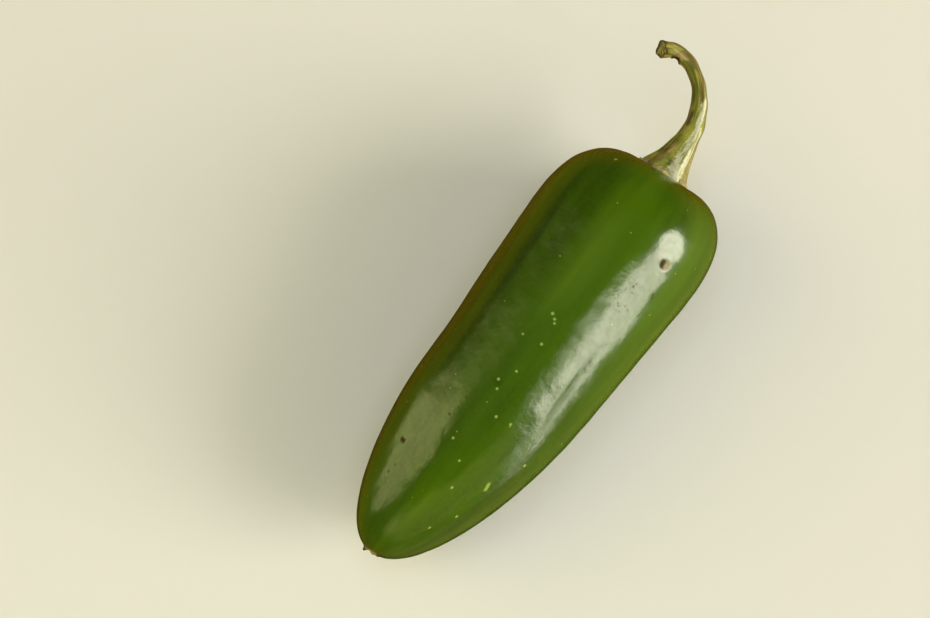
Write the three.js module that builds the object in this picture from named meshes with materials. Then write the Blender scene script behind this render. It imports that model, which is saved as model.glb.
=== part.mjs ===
// A green chilli pepper of the blunt, thick-fleshed kind, lying on its side.
//
// Three pieces grew on it: the tapered pod, the thin calyx that caps its broad end, and the
// ribbed stem that curls away to one side. All sizes are in millimetres. The pod points along
// +Y from its tip to its stem, +Z is up, and the underside rests on Z = 0.

import * as THREE from "three";

// --- Pod: girth along its length ---
const POD_LENGTH = 90.5;
const GIRTH_RADIUS_AT_TIP = 13.6; // where the straight flanks would end without a rounded nose
const TAPER = 0.0565; // radius gained per millimetre towards the stem
const NOSE_LENGTH = 39;
const NOSE_SQUARENESS = 2.1; // 2 is an ellipse
const SHOULDER_LENGTH = 22.5;
const SHOULDER_SQUARENESS = 2.8;
const DIMPLE_DEPTH = 1.7; // the hollow at the broad end, where the calyx sits
const DIMPLE_REACH = 8;

// --- Pod: departures from a round, straight form ---
const HEIGHT_RATIO = 0.95; // height of a cross-section over its width
const LOBES = 3;
const LOBE_DEPTH = 0.018;
const LOBE_BEARING = THREE.MathUtils.degToRad(100);
const FURROWS = 5; // shallow furrows that run down from the shoulder
const FURROW_DEPTH = 0.012;
const FURROW_POWER = 3; // how sharply the furrows deepen towards the shoulder
const FURROW_BEARING = THREE.MathUtils.degToRad(24);
const DENT_DEPTH = 0.45; // a soft dent in the left flank
const DENT_ALONG = 42;
const DENT_REACH = 9;
const DENT_BEARING = THREE.MathUtils.degToRad(-90);
const BOW = 0.8; // sideways bow at mid-length
const LEAN = 1.1; // sideways shift of the broad end
const SKEW_RIGHT = Math.tan(THREE.MathUtils.degToRad(3.8)); // the right shoulder stands further out
const SKEW_DOWN = Math.tan(THREE.MathUtils.degToRad(13)); // and so does the lower one
const SKEW_START = 0.6; // share of the length from which the shoulders skew
const SKEW_POWER = 1.5; // how gently that skew sets in

// --- How the pod lies ---
const PITCH = THREE.MathUtils.degToRad(3.3); // the broad end is raised by the pod's own taper
const CONTACT_DEPTH = 0.35; // how far the underside is pressed flat

// --- Calyx: a thin cap with five blunt points ---
const CALYX_RADIUS = 5.1;
const CALYX_TOP_RADIUS = 4.3;
const CALYX_THICKNESS = 0.9;
const CALYX_SEAT = 1.5; // how far below the pod's full length the calyx sits
const CALYX_POINTS = 5;
const CALYX_POINT_REACH = 0.09;
const CALYX_POINT_POWER = 4; // how closely the points keep to the rim

// --- Stem ---
const STEM_RADIUS = 1.42;
const STEM_FOOT_SPREAD = 2.65; // extra radius where the stem meets the calyx
const STEM_FOOT_REACH = 6;
const STEM_END_SPREAD = 0.25; // extra radius at the cut end
const STEM_END_REACH = 1.5;
const STEM_RIBS = 5;
const STEM_RIB_DEPTH = 0.07;
const STEM_CUT_HOLLOW = 0.35;
// Route of the stem's middle, measured from the centre of the pod's broad end.
const STEM_ROUTE = [
  new THREE.Vector3(0, 0.05, 0.1),
  new THREE.Vector3(0, 4.5, 1.15),
  new THREE.Vector3(-0.5, 9.3, 1.9),
  new THREE.Vector3(-2.3, 13.5, 2.2),
  new THREE.Vector3(-5.3, 17, 2.4),
  new THREE.Vector3(-8.9, 18.9, 2.8),
  new THREE.Vector3(-12, 18.8, 3.6),
  new THREE.Vector3(-14.2, 17.2, 4.8),
];

// --- Clearance between pieces, and fineness of the meshes ---
const SEAM_GAP = 0.3;
const POD_RINGS = 36;
const POD_SIDES = 44;
const CALYX_SIDES = 40;
const STEM_RINGS = 28;
const STEM_SIDES = 25;

// Falls from 1 to 0 as share goes from 0 to 1, round at the far end.
function roundedFall(share, squareness) {
  const remainder = Math.max(0, 1 - share ** squareness);
  return remainder ** (1 / squareness);
}

function podRadius(along) {
  const girth = GIRTH_RADIUS_AT_TIP + TAPER * along;
  const intoNose = Math.max(0, 1 - along / NOSE_LENGTH);
  const intoShoulder = Math.max(0, 1 - (POD_LENGTH - along) / SHOULDER_LENGTH);
  const nose = roundedFall(intoNose, NOSE_SQUARENESS);
  const shoulder = roundedFall(intoShoulder, SHOULDER_SQUARENESS);
  return girth * nose * shoulder;
}

// The pod's profile from tip to broad end, with rings closer together at both ends.
function podProfile() {
  const points = [];
  for (let ring = 0; ring <= POD_RINGS; ring += 1) {
    const along = (POD_LENGTH * (1 - Math.cos((Math.PI * ring) / POD_RINGS))) / 2;
    const onAxis = ring === 0 || ring === POD_RINGS;
    points.push(new THREE.Vector2(onAxis ? 0 : podRadius(along), along));
  }
  return points;
}

// How much further out than a plain round section the skin lies, as a factor.
function lobing(along, bearing) {
  const share = along / POD_LENGTH;
  const lobes = LOBE_DEPTH * share * Math.cos(LOBES * (bearing - LOBE_BEARING));
  const furrows = FURROW_DEPTH * share ** FURROW_POWER * Math.cos(FURROWS * (bearing - FURROW_BEARING));
  return 1 + lobes + furrows;
}

function dent(along, bearing) {
  const lengthwise = Math.exp(-(((along - DENT_ALONG) / DENT_REACH) ** 2));
  const around = Math.max(0, Math.cos(bearing - DENT_BEARING)) ** 2;
  return DENT_DEPTH * lengthwise * around;
}

// The hollow around the middle of the broad end.
function dimple(along, radius) {
  const onBroadEnd = along > POD_LENGTH / 2;
  return onBroadEnd ? DIMPLE_DEPTH * Math.exp(-((radius / DIMPLE_REACH) ** 2)) : 0;
}

// Carries a point of the straight pod, or of what sits on its broad end, onto the bowed pod.
function bend(point) {
  const share = THREE.MathUtils.clamp(point.y / POD_LENGTH, 0, 1);
  const skewShare = Math.max(0, (share - SKEW_START) / (1 - SKEW_START)) ** SKEW_POWER;
  point.x += BOW * Math.sin(Math.PI * share) + LEAN * share;
  point.y += skewShare * (SKEW_RIGHT * point.x - SKEW_DOWN * point.z);
  return point;
}

function moveVertices(geometry, move) {
  const positions = geometry.attributes.position;
  const point = new THREE.Vector3();
  for (let index = 0; index < positions.count; index += 1) {
    move(point.fromBufferAttribute(positions, index));
    positions.setXYZ(index, point.x, point.y, point.z);
  }
  geometry.computeVertexNormals();
  return geometry;
}

function makePodGeometry() {
  const geometry = new THREE.LatheGeometry(podProfile(), POD_SIDES);
  return moveVertices(geometry, (point) => {
    const radius = Math.hypot(point.x, point.z);
    const bearing = Math.atan2(point.x, point.z);
    const reach = radius > 0 ? radius * lobing(point.y, bearing) - dent(point.y, bearing) : 0;
    point.x = reach * Math.sin(bearing);
    point.y -= dimple(point.y, radius);
    point.z = HEIGHT_RATIO * reach * Math.cos(bearing);
    bend(point);
  });
}

function makeCalyxGeometry() {
  const foot = POD_LENGTH - CALYX_SEAT + SEAM_GAP;
  const top = foot + CALYX_THICKNESS;
  const middle = foot + CALYX_THICKNESS / 2;
  const profile = [
    new THREE.Vector2(0, foot),
    new THREE.Vector2(CALYX_TOP_RADIUS, foot),
    new THREE.Vector2(CALYX_RADIUS, foot),
    new THREE.Vector2(CALYX_RADIUS, middle),
    new THREE.Vector2(CALYX_TOP_RADIUS, top),
    new THREE.Vector2(0, top),
  ];
  const geometry = new THREE.LatheGeometry(profile, CALYX_SIDES);
  return moveVertices(geometry, (point) => {
    const radius = Math.hypot(point.x, point.z);
    const bearing = Math.atan2(point.x, point.z);
    const towardsRim = (radius / CALYX_RADIUS) ** CALYX_POINT_POWER;
    const reach = radius * (1 + CALYX_POINT_REACH * towardsRim * Math.cos(CALYX_POINTS * bearing));
    point.x = reach * Math.sin(bearing);
    point.z = reach * Math.cos(bearing);
    bend(point);
  });
}

function stemRadius(fromFoot, fromEnd, bearing) {
  const foot = STEM_FOOT_SPREAD * Math.exp(-fromFoot / STEM_FOOT_REACH);
  const end = STEM_END_SPREAD * Math.exp(-fromEnd / STEM_END_REACH);
  const ribs = 1 + STEM_RIB_DEPTH * Math.cos(STEM_RIBS * bearing);
  return (STEM_RADIUS + foot + end) * ribs;
}

function makeStemGeometry() {
  const broadEnd = bend(new THREE.Vector3(0, POD_LENGTH, 0));
  const route = new THREE.CatmullRomCurve3(STEM_ROUTE.map((point) => point.clone().add(broadEnd)));
  const length = route.getLength();
  const up = new THREE.Vector3(0, 0, 1);
  const geometry = new THREE.CylinderGeometry(1, 1, 1, STEM_SIDES, STEM_RINGS);
  return moveVertices(geometry, (point) => {
    const share = THREE.MathUtils.clamp(point.y + 0.5, 0, 1);
    const spoke = Math.hypot(point.x, point.z);
    const bearing = Math.atan2(point.x, point.z);
    const forward = route.getTangentAt(share);
    const side = new THREE.Vector3().crossVectors(forward, up).normalize();
    const upright = new THREE.Vector3().crossVectors(side, forward);
    const reach = spoke * stemRadius(share * length, (1 - share) * length, bearing);
    const hollow = share === 1 ? STEM_CUT_HOLLOW * (1 - spoke) : 0;
    point.copy(route.getPointAt(share));
    point.addScaledVector(side, reach * Math.sin(bearing));
    point.addScaledVector(upright, reach * Math.cos(bearing));
    point.addScaledVector(forward, -hollow);
  });
}

function podMaterial() {
  return new THREE.MeshStandardMaterial({ color: 0x3f6a0c, roughness: 0.28, metalness: 0 });
}

function calyxMaterial() {
  return new THREE.MeshStandardMaterial({ color: 0x8c9150, roughness: 0.6, metalness: 0 });
}

function stemMaterial() {
  return new THREE.MeshStandardMaterial({ color: 0x6f7a1e, roughness: 0.55, metalness: 0 });
}

function makePiece(name, geometry, material) {
  const piece = new THREE.Mesh(geometry, material);
  piece.name = name;
  return piece;
}

// Pitches the pod onto its underside and presses the contact patch flat.
function layDown(pod, others) {
  const pitch = new THREE.Matrix4().makeRotationX(PITCH);
  pod.geometry.applyMatrix4(pitch);
  pod.geometry.computeBoundingBox();
  const drop = pod.geometry.boundingBox.min.z + CONTACT_DEPTH;
  pod.geometry.translate(0, 0, -drop);
  moveVertices(pod.geometry, (point) => {
    point.z = Math.max(0, point.z);
  });
  for (const piece of others) {
    piece.geometry.applyMatrix4(pitch);
    piece.geometry.translate(0, 0, -drop);
  }
}

const pod = makePiece("pod", makePodGeometry(), podMaterial());
const calyx = makePiece("calyx", makeCalyxGeometry(), calyxMaterial());
const stem = makePiece("stem", makeStemGeometry(), stemMaterial());
layDown(pod, [calyx, stem]);

const pepper = new THREE.Group();
pepper.add(pod, calyx, stem);

// The origin is on the resting surface, under the middle of the whole pepper.
const middle = new THREE.Box3().setFromObject(pepper).getCenter(new THREE.Vector3());
pepper.position.set(-middle.x, -middle.y, 0);

export default pepper;
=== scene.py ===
"""The looks of a green chilli pepper lying on its side: waxy pod, papery calyx and ribbed stem.

Sizes are named in millimetres, as in the part's source, and turned to metres where a mesh is made.
"""

import bpy
import numpy as np
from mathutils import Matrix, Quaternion, Vector


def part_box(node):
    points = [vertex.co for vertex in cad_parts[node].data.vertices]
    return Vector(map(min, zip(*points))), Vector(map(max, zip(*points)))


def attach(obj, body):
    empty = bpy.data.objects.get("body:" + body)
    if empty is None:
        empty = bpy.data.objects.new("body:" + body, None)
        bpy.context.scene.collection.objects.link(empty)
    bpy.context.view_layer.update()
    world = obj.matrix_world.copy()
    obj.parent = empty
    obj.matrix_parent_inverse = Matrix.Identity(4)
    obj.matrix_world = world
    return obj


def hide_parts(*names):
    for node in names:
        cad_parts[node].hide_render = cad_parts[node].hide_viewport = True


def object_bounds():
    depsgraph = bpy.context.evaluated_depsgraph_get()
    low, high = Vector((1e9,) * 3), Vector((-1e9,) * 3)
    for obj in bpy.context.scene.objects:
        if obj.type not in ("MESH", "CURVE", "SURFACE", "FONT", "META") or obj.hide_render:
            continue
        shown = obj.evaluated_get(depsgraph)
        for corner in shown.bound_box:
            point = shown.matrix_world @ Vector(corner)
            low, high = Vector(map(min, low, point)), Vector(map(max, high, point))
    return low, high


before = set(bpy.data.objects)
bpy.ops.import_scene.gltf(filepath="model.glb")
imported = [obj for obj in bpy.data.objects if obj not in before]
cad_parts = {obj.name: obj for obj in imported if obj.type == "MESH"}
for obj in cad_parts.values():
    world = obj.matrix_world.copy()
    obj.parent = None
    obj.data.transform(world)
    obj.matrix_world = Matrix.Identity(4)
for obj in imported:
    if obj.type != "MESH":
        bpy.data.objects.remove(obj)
cad_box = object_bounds()

MM = 0.001
SEED = 11

# A pattern is (height in mm, spacing in mm, stretch, number of waves, seed). A stretch below 1
# makes its waves longer that way.
EVEN = (1, 1, 1)

# --- Pod: the smooth form, as in the part's source ---
POD_LENGTH = 90.5
GIRTH_RADIUS_AT_TIP = 13.6
TAPER = 0.0565
NOSE_LENGTH = 39
NOSE_SQUARENESS = 2.1
SHOULDER_LENGTH = 22.5
SHOULDER_SQUARENESS = 2.8
DIMPLE_DEPTH = 1.7
DIMPLE_REACH = 8
HEIGHT_RATIO = 0.95
LOBES = 3
LOBE_DEPTH = 0.018
LOBE_BEARING = np.radians(100)
FURROWS = 5
FURROW_DEPTH = 0.012
FURROW_POWER = 3
FURROW_BEARING = np.radians(24)
DENT_DEPTH = 0.45
DENT_ALONG = 42
DENT_REACH = 9
DENT_BEARING = np.radians(-90)
BOW = 0.8
LEAN = 1.1
SKEW_RIGHT = np.tan(np.radians(3.8))
SKEW_DOWN = np.tan(np.radians(13))
SKEW_START = 0.6
SKEW_POWER = 1.5
PITCH = np.radians(3.3)
CONTACT_DEPTH = 0.35

# --- Pod: low relief of the skin ---
LUMPS = (0.07, 13, (1, 0.55, 1), 30, 1)
RIPPLES = (0.015, 4.5, EVEN, 40, 2)
RELIEF_FADE_RADIUS = 9  # where the pod is thinner than this, its relief is lower
BAR_RADIUS = 16  # of the plain bar that patterns and marks are laid out on
# Each crease runs from one place to another: mm from the tip, degrees round from the top.
CREASES = (((32, 47), (55, 38)), ((36, 42), (52, 40)), ((34, 61), (46, 57)), ((60, -140), (84, -132)))
CREASE_DEPTH = 0.075
CREASE_WIDTH = 0.85
# The width of the shade painted along a crease: a dark line narrower than the crease.
PAINTED_CREASE_SHADE_WIDTH = CREASE_WIDTH / 1.4  # the dark line in a crease

# --- Pod: marks in the skin: mm from the tip, degrees round from the top, radius in mm ---
PIT = (73.3, 39.5, 0.8)
PIT_DEPTH = 0.3
PIT_LIP = (1.12, 0.4, 0.025)  # distance from the middle, width and height
PIT_CORK = ((73.4, 40.2, 0.7),)
PIT_DEAD = ((72.9, 37.9, 0.4), (73.6, 37.2, 0.4))
BROWN_SPOT = ((19.6, -35.8, 0.28), (19.5, -33.2, 0.32))
BROWN_SPOT_SWELLING_RADIUS = 0.48
BROWN_SPOT_SWELLING_HEIGHT = 0.1
DARK_SPECKS = (
    (13.6, -32, 0.2), (28, -13, 0.2), (66.3, 31, 0.15), (67.6, 46.4, 0.2), (67.0, 47.4, 0.25),
    (69, -118, 0.2), (33, 141, 0.3), (15.2, -29, 0.12), (58.6, -21, 0.15), (70.6, -33, 0.2),
)
# Pale specks: partly pale pores of the skin, partly painted glints of bumps too small for the mesh.
PALE_SPECKS_AND_GLINTS = (
    (38, -1, 0.12), (36.5, 2, 0.08), (32.5, 13, 0.12), (33, 24, 0.1), (25, -1, 0.12), (22.5, 13, 0.1),
    (18, 23, 0.14), (10, 38, 0.12), (14.5, 48, 0.14), (29, 57, 0.12), (53, 1, 0.14), (52.4, 4, 0.1),
    (51.8, 5.5, 0.08), (86, -32, 0.14), (47, -6, 0.06), (47.5, 7, 0.1), (41, 5, 0.08), (58, -150, 0.12),
    (24, 160, 0.14),
)
CORKY_DASHES = (
    (62.3, 26, 0.1), (62.0, 29.5, 0.12), (61.7, 31, 0.08), (62.4, 35, 0.1), (62.2, 38, 0.08),
    (65.2, 33, 0.1), (64.8, 28, 0.06), (60.9, 34, 0.08), (67, 31.5, 0.14), (50.5, 40, 0.14),
    (49, 40.5, 0.1), (58, -98, 0.1), (57.6, -96, 0.12), (41, 112, 0.1), (12, -140, 0.12),
)
BRUISES = ((37.6, 0, 0.3), (64, -25, 0.4), (52, -150, 0.5))
FLECK = ((21.4, 46.2, 0.15), (21.9, 45.4, 0.18), (22.4, 44.6, 0.15))
# How each kind of mark looks: its places, how far its edge blurs in mm, its colour, how strongly
# it shows, and how much wax it lacks.
MARKS = (
    (BRUISES, 0.8, "#223600", 0.45, 0.0),
    # Pale specks, partly painted glints.
    (PALE_SPECKS_AND_GLINTS, 0.25, "#b0c064", 0.6, 0.0),
    (FLECK, 0.4, "#a3ba48", 0.55, 0.0),
    (CORKY_DASHES, 0.2, "#5c5a2c", 0.8, 0.8),
    (DARK_SPECKS, 0.2, "#3d3a06", 0.75, 1.0),
    (PIT_CORK, 0.6, "#958c70", 0.9, 1.0),
    (PIT_DEAD, 0.5, "#332b0e", 0.9, 1.0),
    (BROWN_SPOT, 0.3, "#3a2406", 0.9, 1.0),
)
# How the layers of the mesh look: layer, colour, and how much wax it lacks. The crease layer is painted
# shade.
SCAR_AND_CREASE_SHADE_LAYERS = (
    ("scar_cork", "#93855a", 0.9),
    ("scar_dead", "#1d1408", 0.9),
    # Painted shade: a darker green along the creases.
    ("crease", "#314c02", 0.5),
)

# --- Pod: the blossom scar at the tip. Places are (mm from the axis, degrees round) ---
SCAR_MIDDLE = (0.6, 10)
SCAR_RADIUS = 1.8
SCAR_HEIGHT = 0.1
SCAR_WRINKLES = (0.14, 1.6, EVEN, 30, 3)
SCAR_TEAR = (0.1, 1.2, EVEN, 30, 15)  # how far its edge wanders, as a share of its radius
SCAR_RIM_WIDTH = 0.22
SCAR_RIM_STRENGTH = 0.8
SCAR_DEAD_ARC = (2.2, 58)
SCAR_DEAD_ARC_WIDTH = 0.6
SCAR_DEAD_ARC_SPREAD = 18  # degrees
STYLE_STUB = (1.35, -65)
STYLE_STUB_RADIUS = 0.35
STYLE_STUB_HEIGHT = 0.5
STYLE_STUB_DEAD_RADIUS = 0.55
FAR_OFF = 99  # from the axis, for the half of the pod that the scar isn't on

# --- Pod: greens ---
# Lengthwise bands of lighter and darker green: mm from the tip, degrees round from the top,
# half the length in mm, half the width in degrees, and how much lighter (or, below 0, darker).
# The darkest band, at -39 degrees, is painted light: a painted reflection of the dark that the
# wax mirrors there, and painted shade. The light bands at -9 and -4 degrees are partly the
# skin's own streaks and partly a painted reflection of dim light from above.
BANDS = (
    (56, -39, 26, 5, -0.85), (80, -9, 9, 3, 0.35), (65, -4, 10, 3, 0.3), (84, 6, 8, 12, 0.15),
    (34, -3, 16, 9, -0.25), (72, -21, 16, 7, -0.5), (76, 62, 12, 3, 0.2), (45, -70, 60, 18, -0.6),
    (12, 14, 5, 5, 0.2), (20, 57, 8, 7, -0.5), (9, 50, 5, 20, -0.35), (62, 128, 20, 10, 0.3),
    (40, 170, 30, 16, 0.25), (50, -128, 28, 12, -0.3),
)
# Random streaks as well; their height is how much lighter they are.
BROAD_STREAKS = (0.13, 12, (1, 0.2, 1), 40, 4)
NARROW_STREAKS = (0.11, 4, (1, 0.12, 1), 60, 5)
# The finest patterns, whose scale is how many there are per mm. Real cells and pores are smaller
# and wouldn't show.
THIN_STREAKS = {"Scale": 1.6, "Detail": 2, "Roughness": 0.5}
CELL_CLUSTERS = {"Scale": 1.2, "Detail": 3, "Roughness": 0.6}
PORES = {"Scale": 0.3}
WAX_RIPPLES = {"Scale": 0.5, "Detail": 2, "Roughness": 0.5}
WAX_GRAIN = {"Scale": 2.5, "Detail": 3, "Roughness": 0.6}

# --- Stem ---
STEM_RADIUS = 1.42
STEM_FOOT_SPREAD = 2.65
STEM_FOOT_REACH = 6
STEM_FOOT_FULL = -0.7  # mm from the foot, below which it flares no further
STEM_ROOT = 1.5  # how far the foot goes down into the calyx
STEM_WAIST_PLACE = 18
STEM_WAIST_REACH = 6
STEM_WAIST_DEPTH = 0.25
STEM_END_SPREAD = 0.25
STEM_END_REACH = 1.5
STEM_RIBS = 5
STEM_RIB_DEPTH = 0.07
STEM_RIB_SHARPNESS = 1.5
STEM_GROOVE_LEVEL = -0.9  # how low the grooves between ribs lie, in rib depths
STEM_RIB_BEARING = np.radians(36)
STEM_TOE_GAIN = 1.4  # how much deeper the ribs are at the foot
STEM_TOE_REACH = 3.5
STEM_ROUTE = np.array([
    (0, 0.05, 0.1), (0, 4.5, 1.15), (-0.5, 9.3, 1.9), (-2.3, 13.5, 2.2),
    (-5.3, 17, 2.4), (-8.9, 18.9, 2.8), (-12, 18.8, 3.6), (-14.2, 17.2, 4.8),
])
STEM_FIBRES = (0.03, 0.8, (1, 0.1, 1), 60, 6)
STEM_KNOBS = (0.05, 4, EVEN, 30, 7)
STEM_NOTCH = (24.8, -92)  # mm from the foot, degrees round
STEM_NOTCH_RADIUS = 0.75
STEM_NOTCH_DEPTH = 0.5
STEM_NOTCH_LIP = (1.25, 0.3, 0.18)
STEM_PIT = (1.2, 3)  # mm from the foot, degrees round
STEM_PIT_RADIUS = 0.45
STEM_PIT_DEPTH = 0.45

# --- Stem: its cut end. A reach is how far back from the end something still shows ---
CUT_SLANT = 0.7  # how much shorter the top of the stem is than its underside
CUT_SLANT_REACH = 3
CUT_RAGGEDNESS = (0.2, 1.8, (1, 0.02, 1), 40, 16)
CUT_RAGGEDNESS_REACH = 1.5
CUT_FRAYING = (0.1, 1.3, (1, 0.1, 1), 40, 8)
CUT_FRAYING_REACH = 0.8
CUT_SUNK = 0.3
CUT_CRACKS = (0.12, 3, (4, 0, 4), 40, 9)
# Skin that has dried next to the cut: reach, blur, and how much its edge is torn.
CUT_DRIED = {"olive_brown": (1.6, 1.2, 1.0), "brown": (0.4, 0.6, 1.5)}
CUT_DRAWN_IN = 1.5  # how far in the pith is drawn for its material

# --- Stem: colours ---
# Patches of its skin, some of them painted light: from and to in mm from the foot, degrees round, half
# the width in degrees.
STEM_PATCHES = {
    # Cork, partly a painted highlight on the side towards the lights.
    "cork": ((-2, 10.5, 42, 36), (8, 14, 26, 24)),
    "olive_brown": ((9, 23, -95, 40), (13, 24.5, 32, 36), (25.5, 30, 42, 46), (-2, 9, -34, 7)),
    "straw": (
        # The first two straw patches, on the right, are painted shade; the others are dry skin.
        (-2, 10, 98, 26), (10, 18, 56, 22), (23.8, 27.4, -36, 34), (21.6, 23.2, -95, 26),
        (9.8, 11, -27, 6), (3, 5, -28, 5),
    ),
    # The first brown patch, on the left edge of the foot, is partly dried skin and partly painted
    # shade.
    "brown": ((1, 9, -74, 10), (9, 12.5, -42, 12), (23.7, 26.2, -92, 28), (26.8, 28.4, -34, 12)),
    # The last deep green patch, in the pit at the foot, is painted shade.
    "deep_green": ((9, 23.5, -24, 10), (12.5, 17.5, -46, 14), (20.5, 25, 0, 22), (0.2, 2.2, 3, 8)),
}
STEM_PATCH_BLUR = 26  # degrees round
STEM_PATCH_END_BLUR = 1.8
STEM_PATCH_TEAR = (0.25, 1.6, (1, 0.25, 1), 40, 10)  # how far the edges of patches wander, in blurs
# How each patch looks: its layer, whether it breaks up along the fibres or else in the mottle, and
# its colours from the dark gaps between fibres to the light fibres. Later ones lie on earlier ones.
STEM_PATCH_COLOURS = (
    ("deep_green", True, ((0.3, "#3a4204"), (0.7, "#5e6609"))),
    ("olive_brown", False, ((0.3, "#43340c"), (0.5, "#6c5c22"), (0.7, "#8d7c44"))),
    # Straw: dry skin, and on the right painted shade.
    ("straw", False, ((0.3, "#665426"), (0.5, "#8d7c46"), (0.7, "#aa9a6c"))),
    ("brown", False, ((0.3, "#2e1a06"), (0.7, "#584218"))),
    # Cork, partly a painted highlight.
    ("cork", False, ((0.36, "#85874a"), (0.46, "#c4c2a2"), (0.7, "#d6d4bf"))),
)
# The finest patterns, per mm as before. Real fibres are finer and wouldn't show.
FIBRES = {"Scale": 1.9, "Detail": 3, "Roughness": 0.6}
MOTTLE = {"Scale": 3.2, "Detail": 3, "Roughness": 0.65}
LENTICELS = {"Scale": 4.0, "Detail": 1, "Roughness": 0.5}
PITH_FIBRES = {"Scale": 2.2, "Detail": 3, "Roughness": 0.6}

# --- Calyx ---
CALYX_RADIUS = 5.1
CALYX_POINTS = 5
CALYX_POINT_REACH = 0.09
# Both frills are read on a ring 5 mm in radius, and their height is a share of the radius.
CALYX_FRILL = (0.02, 3, (5, 5, 5), 30, 12)
CALYX_FINE_FRILL = (0.012, 0.9, (5, 5, 5), 40, 13)
CALYX_UNDERSIDE = -0.25  # mm off its seat on the pod
CALYX_TOP = 0.3
CALYX_COLLAR_HEIGHT = 0.95
CALYX_COLLAR_EDGE = 0.86  # where the collar ends and how gently, in radii
CALYX_COLLAR_SLOPE = 0.035
CALYX_CURL = 0.25
CALYX_VEINS = 20
CALYX_VEIN_HEIGHT = 0.05
CALYX_WRINKLES = (0.07, 1.8, EVEN, 50, 14)
CALYX_MOTTLE = {"Scale": 1.2, "Detail": 4, "Roughness": 0.6}

# --- Fineness of the meshes ---
POD_RINGS = 300
POD_SIDES = 260
STEM_RINGS = 230
STEM_SIDES = 120
STEM_ROOT_RINGS = 8
STEM_ROUTE_STEPS = 60  # between one point of the route and the next
CUT_RINGS = 12
CALYX_RINGS = 26
CALYX_SIDES = 200
FLOOR_SIDES = 96

# --- Stage: floor, lights and camera. Sizes are in metres here, and angles in degrees ---
MIDDLE = (Vector(cad_box[0]) + Vector(cad_box[1])) / 2
FLOOR_RADIUS = 3.0
FLAT_RADIUS = 1.0
COVE_RADIUS = 0.8
WALL_HEIGHT = 3.0

PANEL_DISTANCE = 2.0
PANE_HUE = "#fffbe4"
WALL_HUE = "#fdf5a8"
DOORWAY_HUE = "#fff29c"
LOW_WALL_HUE = "#fff48a"
# Light panels round the pepper: bearing from +X towards +Y, spread, height of the foot and the top,
# lean, brightness, colour and, if not a rectangle, shape. Angles are as seen from the pepper.
LIGHT_PANELS = (
    ("window_tall_pane", -1.5, 4.5, -6, 52, -2, 7.5, PANE_HUE),
    ("window_middle_pane", 8, 15, 5, 37, 0, 7.5, PANE_HUE),
    ("window_core", 0, 4, 20, 38, 0, 5, PANE_HUE, "ELLIPSE"),
    ("window_bright_pane", 26, 26, 0, 37, 0, 11.5, PANE_HUE, "ELLIPSE"),
    ("window_sill", -10, 9, -12, 16, 0, 1.5, PANE_HUE),
    ("far_wall", -159, 13, -4, 63, -10, 2.2, WALL_HUE),
    ("far_wall_middle", -145, 15, 5, 63, -10, 2.2, WALL_HUE),
    ("far_wall_end", -130, 15, 13, 60, -10, 2.2, WALL_HUE),
    ("far_wall_door", -170, 9, 8, 72, -4, 0.8, WALL_HUE),
    ("side_wall", -178, 7, 36, 66, 0, 0.3, WALL_HUE),
    ("doorway", -88, 22, 18, 38, 0, 1.0, DOORWAY_HUE),
    ("low_wall", -45, 60, 6, 44, 0, 0.55, LOW_WALL_HUE),
)
CEILING_WIDTH = 1.6
CEILING_BRIGHTNESS = 1.7
CEILING_HUE = "#e6eeff"
# What the wax mirrors where no panel is: a brown table top below, a dim room above.
TABLE_LEFT_HUE = "#805410"
TABLE_RIGHT_HUE = "#a4945c"
TABLE_SHADOW_HUE = "#1d1606"
ROOM_HUE = "#22201a"

CAMERA_AZIMUTH = 37.05
CAMERA_HEIGHT = 77.3
CAMERA_DISTANCE = 0.293
CAMERA_AIM = Vector((-14.7, -9.5, 0.35)) * MM
LENS_MM = 60.97
SENSOR_MM = 36
CAMERA_CLIP_START = 0.01


def linear(colour):
    """An sRGB hex colour as linear red, green, blue and alpha."""
    parts = np.array([int(colour[at:at + 2], 16) for at in (1, 3, 5)]) / 255
    low = parts / 12.92
    high = ((parts + 0.055) / 1.055) ** 2.4
    return (*np.where(parts <= 0.04045, low, high).tolist(), 1.0)


def add(tree, kind, settings=(), links=()):
    """Adds a node, of a kind such as "Bump", with its settings and with links from sources.

    The setting "stops" fills a colour ramp, in order, with (place, hex colour) pairs.
    """
    made = tree.nodes.new("ShaderNode" + kind)
    for name, value in dict(settings).items():
        if name == "stops":
            stops = made.color_ramp.elements
            for place, colour in value[1:-1]:
                stops.new(place).color = linear(colour)
            for stop, (place, colour) in ((stops[0], value[0]), (stops[-1], value[-1])):
                stop.position = place
                stop.color = linear(colour)
        elif isinstance(name, str) and hasattr(made, name):
            setattr(made, name, value)
        else:
            made.inputs[name].default_value = value
    for socket, source in dict(links).items():
        tree.links.new(source, made.inputs[socket])
    return made


# --- Shapes ---

def hump(distance, width, power=2):
    """1 in the middle, falling to 0 past its width; a higher power gives it steeper sides."""
    return np.exp(-(distance / width) ** power)


def lip(distance, ring):
    """A raised ring round a hollow."""
    middle, width, height = ring
    return height * hump(distance - middle, width)


def distance_to(points, place):
    """Distances from some points to a place."""
    return np.linalg.norm(points - place, axis=-1)


def all_round(sides):
    """Evenly spaced bearings, once round."""
    return np.linspace(0, 2 * np.pi, sides, endpoint=False)


def turn_from(bearing, towards, full_turn=2 * np.pi):
    """The shorter way round to a bearing from another one, with a sign; in degrees for 360."""
    return (bearing - towards + full_turn / 2) % full_turn - full_turn / 2


def rounded_fall(share, squareness):
    """A fall from 1 to 0, round for a squareness of 2 and boxier above it."""
    return np.maximum(0, 1 - share ** squareness) ** (1 / squareness)


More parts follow.
